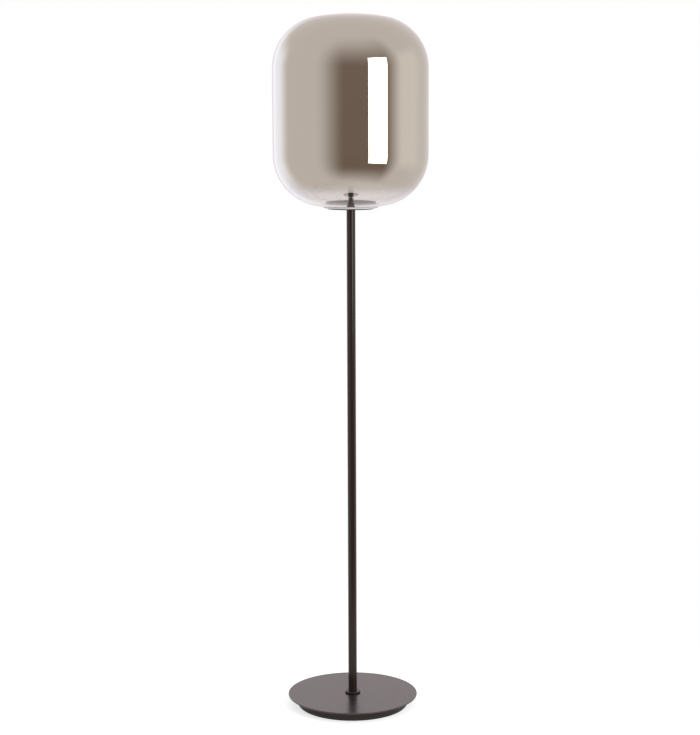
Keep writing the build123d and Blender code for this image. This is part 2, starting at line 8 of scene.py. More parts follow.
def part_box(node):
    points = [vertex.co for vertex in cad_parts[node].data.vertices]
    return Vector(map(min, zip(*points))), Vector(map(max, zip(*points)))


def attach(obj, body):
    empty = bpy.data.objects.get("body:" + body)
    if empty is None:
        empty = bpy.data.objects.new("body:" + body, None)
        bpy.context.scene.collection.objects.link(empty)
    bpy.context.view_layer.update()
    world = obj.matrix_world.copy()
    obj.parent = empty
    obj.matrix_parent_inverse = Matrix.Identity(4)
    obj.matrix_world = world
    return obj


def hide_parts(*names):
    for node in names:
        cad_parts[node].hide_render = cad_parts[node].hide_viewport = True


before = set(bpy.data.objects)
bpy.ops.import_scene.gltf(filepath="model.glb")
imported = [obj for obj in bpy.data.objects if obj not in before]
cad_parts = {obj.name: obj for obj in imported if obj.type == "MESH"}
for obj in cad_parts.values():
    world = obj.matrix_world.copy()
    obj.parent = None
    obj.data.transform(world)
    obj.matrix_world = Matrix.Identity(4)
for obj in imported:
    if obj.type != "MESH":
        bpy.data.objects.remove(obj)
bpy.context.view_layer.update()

# ---------------------------------------------------------------- foam pad
# The disc under the weight that the lamp stands on: closed-cell foam, punched from sheet
# and glued on. Its skin is dull and finely pitted, so it gives no highlight at all.
mm = 0.001
mix_first, mix_second, mix_result = 6, 7, 2  # a Mix node's sockets for colours


def linear(hex_colour):
    """Linear RGBA of an sRGB colour written as 0xRRGGBB."""
    channels = [(hex_colour >> shift & 255) / 255 for shift in (16, 8, 0)]
    return (*[c / 12.92 if c <= 0.04045 else ((c + 0.055) / 1.055) ** 2.4 for c in channels], 1)


def add_node(tree, kind, settings=None, links=None):
    """One shader node: settings go to its properties or inputs, links come from other nodes' outputs."""
    node = tree.nodes.new("ShaderNode" + kind)
    for name, value in (settings or {}).items():
        if isinstance(name, int) or name in node.inputs:
            node.inputs[name].default_value = value
        else:
            setattr(node, name, value)
    for name, output in (links or {}).items():
        tree.links.new(output, node.inputs[name])
    return node


def new_finish(name, hex_colour, **values):
    """A material named for a real finish: its node tree, and its shader with the constant values set."""
    material = bpy.data.materials.new(name)
    material.use_nodes = True
    shader = material.node_tree.nodes["Principled BSDF"]
    shader.inputs["Base Color"].default_value = linear(hex_colour)
    for socket, value in values.items():
        shader.inputs[socket.replace("_", " ").title().replace("Ior", "IOR")].default_value = value
    return material, material.node_tree, shader


def surface_grain(tree, shader, grain, height, shade, spread, roughness):
    """Grain of a real size and height as bump, with the colour and the roughness drifting over it."""
    place = add_node(tree, "TexCoord").outputs["Object"]
    fine = add_node(tree, "TexNoise", {"Scale": 1 / grain, "Detail": 2.0}, {"Vector": place})
    bump = add_node(tree, "Bump", {"Strength": 1.0, "Distance": height}, {"Height": fine.outputs["Fac"]})
    broad = add_node(tree, "TexNoise", {"Scale": 1 / spread, "Detail": 3.0}, {"Vector": place})
    colour = shader.inputs["Base Color"].default_value[:]
    dark = tuple(c * (1 - shade) for c in colour[:3]) + (1,)
    light = tuple(min(1, c * (1 + shade)) for c in colour[:3]) + (1,)
    drift = add_node(
        tree,
        "Mix",
        {"data_type": "RGBA", mix_first: dark, mix_second: light},
        {0: broad.outputs["Fac"]},
    )
    gloss = add_node(
        tree,
        "MapRange",
        {"From Min": 0.3, "From Max": 0.7, "To Min": roughness[0], "To Max": roughness[1]},
        {"Value": broad.outputs["Fac"]},
    )
    tree.links.new(bump.outputs["Normal"], shader.inputs["Normal"])
    tree.links.new(drift.outputs[mix_result], shader.inputs["Base Color"])
    tree.links.new(gloss.outputs["Result"], shader.inputs["Roughness"])


def turned(outline, steps, rounded=None):
    """A closed form turned about Z from (radius, height) points; rounded maps corners to radii."""
    form = bmesh.new()
    line = [form.verts.new((radius, 0, height)) for radius, height in outline]
    for start, end in zip(line, line[1:] + line[:1]):
        if start.co.x > 0 or end.co.x > 0:
            form.edges.new((start, end))
    bmesh.ops.spin(
        form,
        geom=line + form.edges[:],
        cent=(0, 0, 0),
        axis=(0, 0, 1),
        dvec=(0, 0, 0),
        angle=2 * math.pi,
        steps=steps,
        use_merge=True,
    )
    bmesh.ops.remove_doubles(form, verts=form.verts, dist=0.001 * mm)
    for corner, radius in (rounded or {}).items():
        at = Vector(outline[corner])
        ring = {
            vert
            for vert in form.verts
            if (Vector((math.hypot(vert.co.x, vert.co.y), vert.co.z)) - at).length < 0.01 * mm
        }
        edges = [edge for edge in form.edges if ring.issuperset(edge.verts)]
        bmesh.ops.bevel(
            form, geom=edges, offset=radius, segments=6, profile=0.5, affect="EDGES", material=-1
        )
    bmesh.ops.recalc_face_normals(form, faces=form.faces)
    return form


def made(name, form, *finishes, sharp=35):
    """The finished piece of a form: smooth between its sharp edges, flat faces kept flat."""
    mesh = bpy.data.meshes.new(name)
    form.to_mesh(mesh)
    form.free()
    for face in mesh.polygons:
        face.use_smooth = True
    mesh.set_sharp_from_angle(angle=math.radians(sharp))
    for finish in finishes:
        mesh.materials.append(finish)
    piece = bpy.data.objects.new(name, mesh)
    bpy.context.scene.collection.objects.link(piece)
    piece.modifiers.new("flat_faces_stay_flat", "WEIGHTED_NORMAL").keep_sharp = True
    return piece


# EVA foam: nearly black, matt, with pits of about half a millimetre, drawn at 0.9 mm to show.
foam, foam_tree, foam_shader = new_finish("punched_eva_foam", 0x1C1A1A, specular_ior_level=0.3)
surface_grain(
    foam_tree,
    foam_shader,
    grain=0.9 * mm,
    height=0.12 * mm,
    shade=0.25,
    spread=12 * mm,
    roughness=(0.85, 0.95),
)

pad_edge = 0.4 * mm
pad_low, pad_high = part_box("base_pad")
pad_outline = [
    (0, pad_low.z),
    (pad_high.x, pad_low.z),
    (pad_high.x, pad_high.z),
    (0, pad_high.z),
]
foam_pad = made("foam_pad", turned(pad_outline, steps=128, rounded={1: pad_edge, 2: pad_edge}), foam)
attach(foam_pad, "stand")
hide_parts("base_pad")

# ---------------------------------------------------------------- iron weight
# The heavy disc under the plate: grey iron, cast, turned on its rim, then painted like the
# plate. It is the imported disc, with its wiring recess and its cord tunnel. From above only
# its rim shows, set back under the plate and darker in its shade.

# Paint over cast iron: the same brown-black as the stem, a little rougher from the casting.
iron_paint, iron_tree, iron_shader = new_finish("painted_cast_iron", 0x302723, specular_ior_level=0.4)
surface_grain(
    iron_tree,
    iron_shader,
    grain=1.6 * mm,
    height=0.02 * mm,
    shade=0.08,
    spread=25 * mm,
    roughness=(0.42, 0.52),
)


def dress(finish, *names):
    """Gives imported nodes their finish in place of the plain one."""
    for name in names:
        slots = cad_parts[name].data.materials
        slots.clear()
        slots.append(finish)


dress(iron_paint, "base_weight")

# ---------------------------------------------------------------- top plate
# The broad plate that shows: 3 mm sheet steel, cut round, its edge broken, and powder
# coated. Seen low it mirrors the room softly, and its coat's reflection is painted stronger and
# pinker than the stem's, so it looks much paler than the upright stem.

# Satin powder coat: fine orange peel about a millimetre across, drawn at 1.6 mm so it shows.
# Its reflection is set stronger than the tube's copy and tinted pink: a painted pinkish sheen.
plate_coat_painted_sheen, coat_tree, coat_shader = new_finish(
    "satin_bronze_powder_coat", 0x2E2422, specular_ior_level=1.0, specular_tint=(1, 0.91, 0.88, 1)
)
surface_grain(
    coat_tree,
    coat_shader,
    grain=1.6 * mm,
    height=0.0003 * mm,
    shade=0.03,
    spread=60 * mm,
    roughness=(0.25, 0.28),
)

nipple_hole = 5.1 * mm
plate_lower_edge = 0.8 * mm
plate_upper_edge = 0.9 * mm
plate_low, plate_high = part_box("base_plate")
plate_outline = [
    (nipple_hole, plate_low.z),
    (plate_high.x, plate_low.z),
    (plate_high.x, plate_high.z),
    (nipple_hole, plate_high.z),
]
plate_form = turned(plate_outline, steps=192, rounded={1: plate_lower_edge, 2: plate_upper_edge})
top_plate = made("top_plate", plate_form, plate_coat_painted_sheen)
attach(top_plate, "stand")
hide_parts("base_plate")

# ---------------------------------------------------------------- cord bush
# The flanged bush in the rim at the rear that the supply cord comes through: black nylon,
# injection moulded, screwed in. Its mouth is rounded so that it can't cut the cord.


def moulded(name, hex_colour, roughness):
    """Moulded plastic: an even colour, satin from the mould's fine texture, drawn at 0.7 mm to show."""
    material, tree, shader = new_finish(name, hex_colour)
    surface_grain(
        tree,
        shader,
        grain=0.7 * mm,
        height=0.004 * mm,
        shade=0.04,
        spread=20 * mm,
        roughness=(roughness, roughness + 0.08),
    )
    return material


nylon = moulded("moulded_black_nylon", 0x1D1C1C, roughness=0.38)
bush_low, bush_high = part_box("cord_bush")
bush_axis = (bush_low.z + bush_high.z) / 2
bush_length = bush_high.y - bush_low.y
bush_head = (bush_high.x - bush_low.x) / 2
bush_head_thickness = 3.5 * mm
bush_head_edge = 0.9 * mm
bush_mouth_edge = 1.1 * mm
bush_shank = 5 * mm
bush_bore = 3.6 * mm
bush_outline = [
    (bush_bore, 0),
    (bush_shank, 0),
    (bush_shank, bush_length - bush_head_thickness),
    (bush_head, bush_length - bush_head_thickness),
    (bush_head, bush_length),
    (bush_bore, bush_length),
]
bush_form = turned(bush_outline, steps=64, rounded={4: bush_head_edge, 5: bush_mouth_edge})
lying_rearward = Matrix.Translation((0, bush_low.y, bush_axis)) @ Matrix.Rotation(-math.pi / 2, 4, "X")
bmesh.ops.transform(bush_form, matrix=lying_rearward, verts=bush_form.verts)
cord_bush = made("nylon_cord_bush", bush_form, nylon)
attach(cord_bush, "stand")
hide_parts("cord_bush")

# ---------------------------------------------------------------- fixings and contacts
# The hollow threaded tubes that pull the lamp together, their plugs, washers and screws, and
# the bulb's foot contact: turned steel, barrel-plated with bright zinc. The nuts, the earth
# screw and the lampholder's shell and contacts are turned brass.

# Bright zinc plate: bluish silver, with the faint marks of turning, drawn at 0.5 mm to show.
zinc, zinc_tree, zinc_shader = new_finish("bright_zinc_plate", 0xC3C6C8, metallic=1.0)
surface_grain(
    zinc_tree,
    zinc_shader,
    grain=0.5 * mm,
    height=0.003 * mm,
    shade=0.06,
    spread=8 * mm,
    roughness=(0.24, 0.36),
)
dress(zinc, "foot_nipple", "foot_washer", "foot_lock_washer", "stem_foot_plug", "stem_top_plug")
dress(zinc, "seat_washer", "riser_nipple", "terminal_screws", "block_screws", "bulb_contact")

# Turned brass: warm yellow, tarnished in patches, its turning marks drawn at 0.6 mm to show.
brass, brass_tree, brass_shader = new_finish("turned_brass", 0xC9A45C, metallic=1.0)
surface_grain(
    brass_tree,
    brass_shader,
    grain=0.6 * mm,
    height=0.003 * mm,
    shade=0.12,
    spread=10 * mm,
    roughness=(0.22, 0.38),
)
dress(brass, "foot_nut", "seat_nut", "earth_screw", "holder_lock_nut")
dress(brass, "holder_shell", "holder_terminals", "centre_contact")

# ---------------------------------------------------------------- terminal block and wires
# The three-way block in the weight's recess and the single-core wires from it: the block
# is moulded, pale and slightly waxy, and the wires have smooth soft plastic insulation.
dress(moulded("moulded_block_plastic", 0xE6E3DA, roughness=0.42), "terminal_block")
dress(moulded("brown_wire_insulation", 0x6E4428, roughness=0.34), "live_wire")
dress(moulded("blue_wire_insulation", 0x2C63A8, roughness=0.34), "neutral_wire")

# Earth insulation is green with a yellow stripe; bands across the wire show both colours.
earth_green = 0x3F7F33
earth_yellow = 0xD9C334
earth_band = 6.5 * mm
earth, earth_tree, earth_shader = new_finish("green_yellow_wire_insulation", earth_green, roughness=0.36)
earth_place = add_node(earth_tree, "TexCoord").outputs["Object"]
earth_bands = add_node(
    earth_tree,
    "TexWave",
    {
        "wave_type": "BANDS",
        "bands_direction": "DIAGONAL",
        "Scale": 1 / (earth_band * math.tau),
        "Distortion": 0.4,
    },
    {"Vector": earth_place},
)
earth_mix = add_node(
    earth_tree,
    "Mix",
    {"data_type": "RGBA", mix_first: linear(earth_green), mix_second: linear(earth_yellow)},
    {0: earth_bands.outputs["Fac"]},
)
earth_tree.links.new(earth_mix.outputs[mix_result], earth_shader.inputs["Base Color"])
dress(earth, "earth_wire")

# ---------------------------------------------------------------- collar
# The low ring that covers the joint of stem and plate: turned steel, slipped over the tube.
# Its upper edge is well rounded, and an undercut below leaves a dark line over the plate.

# The same powder coat, tighter, as a second copy for the turned parts: its colour is darker
# and its reflection weaker than the plate's, which is painted shade of the upright surfaces.
tube_coat_painted_shade, stem_tree, stem_shader = new_finish(
    "powder_coat_painted_shade_on_tube", 0x2A1E1A, specular_ior_level=0.32
)
surface_grain(
    stem_tree,
    stem_shader,
    grain=1.6 * mm,
    height=0.001 * mm,
    shade=0.05,
    spread=90 * mm,
    roughness=(0.17, 0.21),
)

collar_low, collar_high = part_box("foot_collar")
stem_low, stem_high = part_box("stem_tube")
stem_radius = stem_high.x
collar_bore = stem_radius + 0.1 * mm
collar_foot = 15.6 * mm
collar_ledge = collar_low.z + 1.2 * mm
collar_upper_edge = 2.2 * mm
collar_small_edge = 0.3 * mm
collar_outline = [
    (collar_bore, collar_low.z),
    (collar_foot, collar_low.z),
    (collar_foot, collar_ledge),
    (collar_high.x, collar_ledge),
    (collar_high.x, collar_high.z),
    (collar_bore, collar_high.z),
]
collar_edges = {3: collar_small_edge, 4: collar_upper_edge, 5: collar_small_edge}
stem_collar = made("stem_collar", turned(collar_outline, steps=96, rounded=collar_edges), tube_coat_painted_shade)
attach(stem_collar, "stand")
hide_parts("foot_collar")

# ---------------------------------------------------------------- stem
# The long upright: welded steel tube, 20 mm across with a 1.5 mm wall, dressed smooth and
# powder coated. Plugs fixed in its ends take the threaded tubes.
stem_wall = 1.5 * mm
stem_outline = [
    (stem_radius - stem_wall, stem_low.z),
    (stem_radius, stem_low.z),
    (stem_radius, stem_high.z),
    (stem_radius - stem_wall, stem_high.z),
]
stem = made("stem", turned(stem_outline, steps=96), tube_coat_painted_shade)
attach(stem, "stand")
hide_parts("stem_tube")

# ---------------------------------------------------------------- saucer under the globe
# The shallow saucer on the stem's top that carries the glass: mild steel sheet, spun over a
# former, coated like the stem. Its rim turns out into a flange as wide as the glass's foot.
dish_low, dish_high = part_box("seat_dish")
dish_sheet = 1 * mm
drum_radius = 52.5 * mm
outer_bend = 1.6 * mm
inner_bend = 0.6 * mm
flange_edge = 0.35 * mm
dish_outline = [
    (nipple_hole, dish_low.z),
    (drum_radius, dish_low.z),
    (drum_radius, dish_high.z - dish_sheet),
    (dish_high.x, dish_high.z - dish_sheet),
    (dish_high.x, dish_high.z),
    (drum_radius - dish_sheet, dish_high.z),
    (drum_radius - dish_sheet, dish_low.z + dish_sheet),
    (nipple_hole, dish_low.z + dish_sheet),
]
dish_edges = {
    1: outer_bend,
    2: inner_bend,
    3: flange_edge,
    4: flange_edge,
    5: outer_bend,
    6: inner_bend,
}
saucer = made("spun_saucer", turned(dish_outline, steps=128, rounded=dish_edges), tube_coat_painted_shade)
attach(saucer, "stand")
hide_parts("seat_dish")

# ---------------------------------------------------------------- seat ring
# The soft ring between flange and glass: undyed silicone, moulded as a channel that is
# pushed over the flange's rim. It lets light in, so the joint reads pale instead of black.

# Undyed silicone: milky, because light scatters some millimetres into it. Its satin skin has
# the mould's fine texture, drawn at 0.8 mm to show.
silicone, silicone_tree, silicone_shader = new_finish(
    "moulded_clear_silicone",
    0xF6E9E8,
    subsurface_weight=1.0,
    subsurface_radius=(1, 1, 1),
    subsurface_scale=2 * mm,
    ior=1.41,
)
surface_grain(
    silicone_tree,
    silicone_shader,
    grain=0.8 * mm,
    height=0.003 * mm,
    shade=0.03,
    spread=15 * mm,
    roughness=(0.32, 0.42),
)

gasket_low, gasket_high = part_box("seat_gasket")
gasket_bore = 56.6 * mm
gasket_lip = 3 * mm
gasket_outline = [
    (gasket_bore, dish_high.z),
    (dish_high.x, dish_high.z),
    (dish_high.x, dish_high.z - dish_sheet),
    (dish_high.x - gasket_lip, dish_high.z - dish_sheet),
    (dish_high.x - gasket_lip, gasket_low.z),
    (gasket_high.x, gasket_low.z),
    (gasket_high.x, gasket_high.z),
    (gasket_bore, gasket_high.z),
]
gasket_edges = {4: 0.3 * mm, 5: 0.5 * mm, 6: 0.4 * mm}
gasket_form = turned(gasket_outline, steps=128, rounded=gasket_edges)
seat_ring = made("silicone_seat_ring", gasket_form, silicone)
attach(seat_ring, "stand")
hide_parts("seat_gasket")

# ---------------------------------------------------------------- locating cap
# The low domed cap that fills the glass's mouth and keeps it central: spun steel, lacquered
# smoke grey, held down by the riser. It shows through the clear foot of the glass as a disc.


def arc(centre, radius, start, end, count):
    """Points of an arc about (radius, height) centre, its ends in degrees from straight up."""
    turns = [math.radians(start + (end - start) * step / count) for step in range(count + 1)]
    return [(centre[0] + radius * math.sin(turn), centre[1] + radius * math.cos(turn)) for turn in turns]


# Stoved lacquer over steel: a warm smoke grey, dry, with only a broad sheen and orange peel
# about a millimetre across.
smoke_grey, smoke_tree, smoke_shader = new_finish("stoved_smoke_grey_lacquer", 0x7C6C69)
surface_grain(
    smoke_tree,
    smoke_shader,
    grain=1.2 * mm,
    height=0.006 * mm,
    shade=0.06,
    spread=25 * mm,
    roughness=(0.42, 0.5),
)

cap_low, cap_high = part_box("locating_cap")
cap_radius = cap_high.x
cap_crown = 3.5 * mm
cap_sheet = 1.2 * mm
cap_edge = 1.5 * mm
cap_top = dish_high.z + 13.5 * mm
cap_dome = (cap_radius**2 + cap_crown**2) / (2 * cap_crown)
cap_centre = (0, cap_top - cap_dome)
cap_hole = math.degrees(math.asin(nipple_hole / cap_dome))
cap_rim = math.degrees(math.asin(cap_radius / cap_dome))
cap_inner_rim = math.degrees(math.asin((cap_radius - cap_sheet) / (cap_dome - cap_sheet)))
cap_steps = 24
cap_outline = [
    *arc(cap_centre, cap_dome, cap_hole, cap_rim, cap_steps),
    (cap_radius, cap_low.z),
    (cap_radius - cap_sheet, cap_low.z),
    *arc(cap_centre, cap_dome - cap_sheet, cap_inner_rim, cap_hole, cap_steps),
]
cap_form = turned(cap_outline, steps=128, rounded={cap_steps: cap_edge})
locating_cap = made("spun_locating_cap", cap_form, smoke_grey)
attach(locating_cap, "stand")
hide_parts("locating_cap")

# ---------------------------------------------------------------- riser
# The short tube that hides the threaded tube between cap and lampholder: steel, 12 mm
# across, matt black. Its foot shows through the glass, the rest is hidden.

# Stoved matt black over steel: dark, dry, with only a broad sheen and orange peel about a
# millimetre across.
matt_black, black_tree, black_shader = new_finish("stoved_matt_black", 0x4A4241)
surface_grain(
    black_tree,
    black_shader,
    grain=1.2 * mm,
    height=0.006 * mm,
    shade=0.06,
    spread=25 * mm,
    roughness=(0.42, 0.5),
)

riser_low, riser_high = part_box("riser_tube")
riser_bore = 5.2 * mm
riser_edge = 0.2 * mm
riser_outline = [
    (riser_bore, riser_low.z),
    (riser_high.x, riser_low.z),
    (riser_high.x, riser_high.z),
    (riser_bore, riser_high.z),
]
riser_form = turned(riser_outline, steps=64, rounded={1: riser_edge, 2: riser_edge})
riser = made("riser", riser_form, matt_black)
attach(riser, "stand")
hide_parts("riser_tube")

# ---------------------------------------------------------------- lampholder
# The two screwed halves that hold the bulb: black thermoset plastic, compression moulded.
# The lower one swells from a collar; the upper one has moulded grip flutes all round.
thermoset = moulded("moulded_black_thermoset", 0x1E1D1E, roughness=0.26)
lower_low, lower_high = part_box("holder_cap")
skirt_low, skirt_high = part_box("holder_skirt")
holder_radius = skirt_high.x
holder_wall = 1.7 * mm
slip_gap = 0.1 * mm
neck_radius = 8 * mm
neck_inside = neck_radius - 0.1 * mm
neck_top = lower_low.z + 5.5 * mm
nipple_fit = 5.05 * mm
spigot_outside = holder_radius - holder_wall - slip_gap
spigot_inside = holder_radius - 2 * holder_wall
lower_outline = [
    (nipple_fit, lower_low.z),
    (neck_radius, lower_low.z),
    (neck_radius, neck_top),
    (holder_radius, skirt_low.z - holder_wall),
    (holder_radius, skirt_low.z),
    (spigot_outside, skirt_low.z),
    (spigot_outside, lower_high.z),
    (spigot_inside, lower_high.z),
    (spigot_inside, skirt_low.z - holder_wall),
    (neck_inside, neck_top + holder_wall),
    (nipple_fit, neck_top + holder_wall),
]
lower_edges = {1: 0.9 * mm, 2: 1.4 * mm, 3: 1 * mm}
lower_form = turned(lower_outline, steps=96, rounded=lower_edges)
holder_lower = made("lampholder_lower_half", lower_form, thermoset)
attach(holder_lower, "stand")
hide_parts("holder_cap")

# The upper half: a plain wall is turned first, and its flutes are then pressed into it.
skirt_rim = 15.2 * mm
skirt_edge = 1.2 * mm
skirt_rim_edge = 0.6 * mm
flute_count = 36
flute_steps = 8
flute_rows = 12
flute_depth = 0.35 * mm
flute_run_out = 8  # a flute has its full depth an eighth of its length from either end
flute_face = holder_radius - 0.1 * mm
flute_low = skirt_low.z + 4 * mm
flute_high = skirt_high.z - 5 * mm
flute_heights = [
    flute_low + (flute_high - flute_low) * row / flute_rows for row in range(flute_rows + 1)
]
skirt_outline = [
    (holder_radius - holder_wall, skirt_low.z),
    (holder_radius, skirt_low.z),
    *[(holder_radius, height) for height in flute_heights],
    (holder_radius, skirt_high.z),
    (skirt_rim, skirt_high.z),
    (skirt_rim, skirt_high.z - holder_wall),
    (holder_radius - holder_wall, skirt_high.z - holder_wall),
]
skirt_top_corner = flute_rows + 3
skirt_edges = {skirt_top_corner: skirt_edge, skirt_top_corner + 1: skirt_rim_edge}
skirt_form = turned(skirt_outline, steps=flute_count * flute_steps, rounded=skirt_edges)
for vert in skirt_form.verts:
    share = (vert.co.z - flute_low) / (flute_high - flute_low)
    if 0 < share < 1 and math.hypot(vert.co.x, vert.co.y) > flute_face:
        ends = min(1, flute_run_out * share, flute_run_out * (1 - share))
        wave = 0.5 - 0.5 * math.cos(flute_count * math.atan2(vert.co.y, vert.co.x))
        inward = 1 - flute_depth * wave * ends / holder_radius
        vert.co.x *= inward
        vert.co.y *= inward
holder_skirt = made("lampholder_fluted_skirt", skirt_form, thermoset)
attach(holder_skirt, "stand")
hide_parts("holder_skirt")

# The core that carries the contacts: steatite, pressed and fired, off-white and unglazed, its
# fine grain drawn at 0.5 mm to show.
steatite, steatite_tree, steatite_shader = new_finish("fired_steatite", 0xE2DCCD)
surface_grain(
    steatite_tree,
    steatite_shader,
    grain=0.5 * mm,
    height=0.01 * mm,
    shade=0.04,
    spread=9 * mm,
    roughness=(0.55, 0.7),
)
dress(steatite, "holder_core")

# ---------------------------------------------------------------- bulb
# A pear-shaped bulb with a medium screw cap: blown clear glass, a rolled metal cap with its
# thread, a black glass insulator, and filament rods that stand on a glass stem.


def blown_waves(tree, shader, length, height):
    """The slow waves that blowing leaves in glass, of a real length and height, as bump."""
    place = add_node(tree, "TexCoord").outputs["Object"]
    waves = add_node(tree, "TexNoise", {"Scale": 1 / length, "Detail": 1.0}, {"Vector": place})
    bump = add_node(tree, "Bump", {"Strength": 1.0, "Distance": height}, {"Height": waves.outputs["Fac"]})
    tree.links.new(bump.outputs["Normal"], shader.inputs["Normal"])


# Blown soda glass: colourless, with its faint green only at the edges.
bulb_glass, bulb_tree, bulb_shader = new_finish(
    "blown_clear_glass", 0xFAFCFA, transmission_weight=1.0, roughness=0.0, ior=1.5
)
blown_waves(bulb_tree, bulb_shader, length=30 * mm, height=0.02 * mm)

glass_low, glass_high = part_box("bulb_glass")
shell_low, shell_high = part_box("bulb_cap")
bulb_wall = 0.8 * mm
sphere_radius = glass_high.x
sphere_centre = (0, glass_high.z - sphere_radius)
dome_turn = 118
bulb_neck_radius = 12.3 * mm
bulb_neck_top = shell_high.z + 2 * mm
dome_steps = 40
draw_steps = 20
draw_lean = 0.62
draw_stand = 0.7


def bulb_side(inset):
    """The bulb's wall from its top to its foot: a dome, then a smooth draw-in to the neck."""
    dome = arc(sphere_centre, sphere_radius - inset, 0, dome_turn, dome_steps)
    leave = math.radians(dome_turn)
    pull = draw_lean * (dome[-1][1] - bulb_neck_top)
    start, end = Vector(dome[-1]), Vector((bulb_neck_radius - inset, bulb_neck_top))
    lean = start + Vector((math.cos(leave), -math.sin(leave))) * pull
    stand = end + Vector((0, pull * draw_stand))
    draw = []
    for step in range(1, draw_steps):
        share = step / draw_steps
        rest = 1 - share
        point = (
            start * rest**3
            + lean * 3 * share * rest**2
            + stand * 3 * share**2 * rest
            + end * share**3
        )
        draw.append(tuple(point))
    return [*dome, *draw, tuple(end), (bulb_neck_radius - inset, glass_low.z)]


envelope = [*bulb_side(0), *reversed(bulb_side(bulb_wall))]
bulb_envelope = made("bulb_envelope", turned(envelope, steps=96), bulb_glass, sharp=60)
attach(bulb_envelope, "bulb")
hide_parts("bulb_glass")
dress(bulb_glass, "filament_mount")

# The metal cap: thin nickel-plated brass, its rounded thread rolled in, soft bright silver,
# with the marks of rolling drawn at 0.5 mm to show.
nickel, nickel_tree, nickel_shader = new_finish("rolled_nickel_plate", 0xC8C4BA, metallic=1.0)
surface_grain(
    nickel_tree,
    nickel_shader,
    grain=0.5 * mm,
    height=0.004 * mm,
    shade=0.06,
    spread=6 * mm,
    roughness=(0.2, 0.32),
)

shell_radius = shell_high.x
shell_sheet = 0.4 * mm
shell_hole = 4.8 * mm
shell_bevel = 1.2 * mm
thread_pitch = 3.629 * mm
thread_depth = 0.55 * mm
thread_rows = 60
thread_run_out = 6  # the thread has its full depth a sixth of its length from either end
thread_start = shell_low.z + 2.5 * mm
thread_end = shell_high.z - 2 * mm
thread_heights = [
    thread_start + (thread_end - thread_start) * row / thread_rows for row in range(thread_rows + 1)
]
shell_outline = [
    (shell_hole, shell_low.z),
    (shell_radius - shell_bevel, shell_low.z),
    (shell_radius, shell_low.z + shell_bevel),
    *[(shell_radius, height) for height in thread_heights],
    (shell_radius, shell_high.z),
    (shell_radius - shell_sheet, shell_high.z),
    *[(shell_radius - shell_sheet, height) for height in reversed(thread_heights)],
    (shell_radius - shell_sheet, shell_low.z + shell_bevel),
    (shell_radius - shell_bevel, shell_low.z + shell_sheet),
    (shell_hole, shell_low.z + shell_sheet),
]
shell_form = turned(shell_outline, steps=72)
for vert in shell_form.verts:
    reach = math.hypot(vert.co.x, vert.co.y)
    along = (vert.co.z - thread_start) / (thread_end - thread_start)
    if 0 < along < 1 and reach > shell_radius - 2 * shell_sheet:
        turn = math.atan2(vert.co.y, vert.co.x) / math.tau
        wave = 0.5 - 0.5 * math.cos(math.tau * ((vert.co.z - thread_start) / thread_pitch - turn))
        ends = min(1, thread_run_out * along, thread_run_out * (1 - along))
        inward = 1 - thread_depth * wave * ends / reach
        vert.co.x *= inward
        vert.co.y *= inward
screw_cap = made("bulb_screw_cap", shell_form, nickel, sharp=60)
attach(screw_cap, "bulb")
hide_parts("bulb_cap")

dress(moulded("black_vitrite_glass", 0x141416, roughness=0.1), "bulb_insulator")

# Filament rods: sapphire strips under yellow phosphor, opaque and chalky when unlit, the
# phosphor's grain drawn at 0.4 mm to show.
phosphor, phosphor_tree, phosphor_shader = new_finish("phosphor_coated_rod", 0xE8BE4A)
surface_grain(
    phosphor_tree,
    phosphor_shader,
    grain=0.4 * mm,
    height=0.01 * mm,
    shade=0.08,
    spread=5 * mm,
    roughness=(0.5, 0.65),
)
dress(phosphor, "filaments")

# ---------------------------------------------------------------- glass globe
# The tall capsule: mouth-blown soda glass in a mould, 2.8 mm thick, with a thick lip. It is
# metal-vapour coated outside, a smoky mirror that fades out to clear glass at the foot.
globe_low, globe_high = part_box("globe_glass")
globe_radius = globe_high.x
globe_wall = 2.8 * mm
crown_radius = 440 * mm
corner_axis = 59 * mm
mouth_radius = 57.2 * mm
seat_edge = mouth_radius + 3.3 * mm
lip_height = 4.6 * mm
lip_width = 9 * mm
lip_round = 1.2 * mm
corner_radius = globe_radius - corner_axis
crown_base = globe_low.z - (crown_radius - math.sqrt(crown_radius**2 - seat_edge**2))
corner_rise = crown_radius - math.sqrt((crown_radius - corner_radius) ** 2 - corner_axis**2)
blend_turn = math.degrees(math.asin(corner_axis / (crown_radius - corner_radius)))
lower_corner = crown_base + corner_rise
upper_corner = globe_high.z - corner_rise
crown_steps = 16
corner_steps = 40
side_steps = 24
foot_steps = 8


def globe_side(inset, mouth):
    """The glass's wall from its top to its foot, inset from the outer face."""
    crown = crown_radius - inset
    corner = corner_radius - inset
    foot_turn = math.degrees(math.asin(mouth / crown))
    side_run = lower_corner - upper_corner
    straight = [upper_corner + side_run * step / side_steps for step in range(1, side_steps)]
    return [
        *arc((0, globe_high.z - crown_radius), crown, 0, blend_turn, crown_steps)[:-1],
        *arc((corner_axis, upper_corner), corner, blend_turn, 90, corner_steps),
        *[(globe_radius - inset, height) for height in straight],
        *arc((corner_axis, lower_corner), corner, 90, 180 - blend_turn, corner_steps)[:-1],
        *arc((0, crown_base + crown_radius), crown, 180 - blend_turn, 180 - foot_turn, foot_steps),
    ]


inner_side = globe_side(globe_wall, mouth_radius + lip_width)
lip_top = globe_low.z + lip_height
lip_inside = mouth_radius + 2.5 * lip_round
globe_outline = [
    *globe_side(0, seat_edge),
    (mouth_radius, globe_low.z),
    (mouth_radius, lip_top - lip_round),
    (mouth_radius + lip_round, lip_top),
    (lip_inside, lip_top),
    *reversed(inner_side),
]
globe_form = turned(globe_outline, steps=192)

